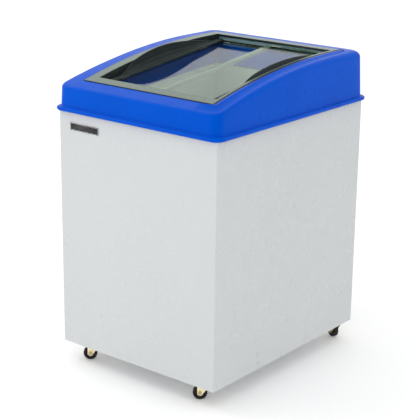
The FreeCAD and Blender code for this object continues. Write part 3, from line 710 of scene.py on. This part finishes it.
def lathe(form, profile, middle, axis, steps=56):
    """Turns a closed profile of (place along the axis, radius) points into a ring."""
    axis = Vector(axis).normalized()
    side = axis.orthogonal().normalized()
    up = axis.cross(side)
    rows = []
    for k in range(steps):
        a = 2 * math.pi * k / steps
        spoke = side * math.cos(a) + up * math.sin(a)
        rows.append([form.verts.new(middle + axis * along + spoke * radius) for along, radius in profile])
    for k in range(steps):
        this, following = rows[k], rows[(k + 1) % steps]
        for j in range(len(profile)):
            n = (j + 1) % len(profile)
            form.faces.new((this[j], following[j], following[n], this[n]))


def build_wheel(corner):
    """A moulded wheel: crowned tread with a mould line, dished sides, a stepped hub."""
    node = "caster_wheel_" + corner
    low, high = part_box(node)
    middle = (low + high) / 2
    joint = next(j for j in frame["joints"] if j["name"] == "roll_" + corner)
    radius = (high.z - low.z) / 2
    half = wheel_half
    hub_half = half + wheel_hub_stands
    right = [
        (mould_line, radius),
        (2 * mould_line, radius - mould_line),
        (0.55 * half, radius - mould_line),
        (0.78 * half, 0.985 * radius),
        (0.93 * half, 0.945 * radius),
        (half, 0.88 * radius),
        (half, 0.72 * radius),
        (0.94 * half, 0.68 * radius),
        (0.66 * half, 0.65 * radius),
        (0.62 * half, 0.62 * radius),
        (0.62 * half, 0.42 * radius),
        (0.68 * half, 0.38 * radius),
        (hub_half - 2 * mould_line, 0.34 * radius),
        (hub_half, 0.32 * radius),
        (hub_half, wheel_bore),
    ]
    profile = [(-along, r) for along, r in reversed(right)] + right
    form = bmesh.new()
    lathe(form, profile, middle, joint["axis"])
    piece("wheel_" + corner, form, "black_tyre", "wheel_" + corner, [node])


for corner in ("front_left", "front_right", "rear_left", "rear_right"):
    build_wheel(corner)


# Carried-over CAD nodes ------------------------------------------------------


def dress(node, slot):
    """Gives a CAD node its slot's finish, joins its split faces and keeps its sharp edges crisp under smooth
    shading.
    """
    thing = nodes[node]
    thing.data.materials.clear()
    thing.data.materials.append(finishes[slot].material)
    for face in thing.data.polygons:
        face.use_smooth = True
    weld = thing.modifiers.new("join", "WELD")
    weld.merge_threshold = 0.01 * millimetre
    split = thing.modifiers.new("creases", "EDGE_SPLIT")
    split.split_angle = math.radians(28)
    smooth = thing.modifiers.new("smooth", "WEIGHTED_NORMAL")
    smooth.keep_sharp = True


for part in frame["record"]["subparts"]:
    if part["node"] not in dressed:
        dress(part["node"], part["material_slot"])


# Studio ----------------------------------------------------------------------


dome_strength = 1.02
floor_half = 60.0
floor_glow = 0.13
card_low, card_high = (2.0, -0.6, 0.0), (2.1, 3.6, 2.4)


def studio():
    """A plain pale floor, lit a little from within, under a white dome."""
    scene = bpy.context.scene
    scene.view_settings.view_transform = "Standard"
    world = bpy.data.worlds.new("studio_dome")
    scene.world = world
    world.use_nodes = True
    sky = world.node_tree.nodes["Background"]
    sky.inputs["Color"].default_value = (1, 1, 1, 1)
    sky.inputs["Strength"].default_value = dome_strength

    form = bmesh.new()
    bmesh.ops.create_grid(form, x_segments=2, y_segments=2, size=floor_half)
    mesh = bpy.data.meshes.new("floor")
    form.to_mesh(mesh)
    form.free()
    floor = bpy.data.objects.new("floor", mesh)
    scene.collection.objects.link(floor)
    paper = Finish("floor_paper", (0.97, 0.97, 0.97), 0.7)
    paper.tint(paper.noise(0.6, 3), (0.96, 0.96, 0.96))
    paper.set(Emission_Color=(1.0, 1.0, 1.0, 1.0), Emission_Strength=floor_glow)
    paper.rough(paper.noise(0.2, 3), 0.65, 0.8)
    mesh.materials.append(paper.material)


def card():
    """A grey upright card beyond the right-hand side, which takes light off that side."""
    form = bmesh.new()
    bmesh.ops.create_cube(form, size=1)
    for vert in form.verts:
        vert.co = [card_high[k] if vert.co[k] > 0 else card_low[k] for k in range(3)]
    mesh = bpy.data.meshes.new("shade_card")
    form.to_mesh(mesh)
    form.free()
    board = bpy.data.objects.new("shade_card", mesh)
    bpy.context.scene.collection.objects.link(board)
    felt = Finish("card_felt", (0.74, 0.74, 0.745), 0.9)
    felt.tint(felt.noise(0.05, 3), (0.76, 0.76, 0.765))
    mesh.materials.append(felt.material)


def lamp(name, azimuth, elevation, distance, size, power):
    """A square soft lamp that looks at the middle of the freezer from that direction."""
    middle = (cad_low + cad_high) / 2
    a = math.radians(azimuth)
    e = math.radians(elevation)
    away = Vector((math.sin(a) * math.cos(e), -math.cos(a) * math.cos(e), math.sin(e)))
    data = bpy.data.lights.new(name, "AREA")
    data.size = size
    data.energy = power
    light = bpy.data.objects.new(name, data)
    light.location = middle + away * distance
    light.rotation_euler = away.to_track_quat("Z", "Y").to_euler()
    bpy.context.scene.collection.objects.link(light)


def camera(azimuth, elevation, roll, distance, target, lens):
    """The camera, at a direction from the target in degrees and rolled about its own line of sight."""
    data = bpy.data.cameras.new("camera")
    data.sensor_width = 36
    data.lens = lens
    eye = bpy.data.objects.new("camera", data)
    a = math.radians(azimuth)
    e = math.radians(elevation)
    back = Vector((math.sin(a) * math.cos(e), -math.cos(a) * math.cos(e), math.sin(e)))
    right = Vector((0, 0, 1)).cross(back).normalized()
    up = back.cross(right)
    turn = Matrix((right, up, back)).transposed() @ Matrix.Rotation(math.radians(roll), 3, "Z")
    eye.matrix_world = Matrix.Translation(Vector(target) + back * distance) @ turn.to_4x4()
    bpy.context.scene.collection.objects.link(eye)
    bpy.context.scene.camera = eye


studio()
card()
lamp("key_lamp", azimuth=-55, elevation=44, distance=3.2, size=1.3, power=12)
lamp("fill_lamp", azimuth=75, elevation=30, distance=3.6, size=2.4, power=1)
camera(
    azimuth=38.34,
    elevation=17.42,
    roll=0.82,
    distance=3.663,
    target=(-0.010, 0.0, 0.4228),
    lens=109.6,
)
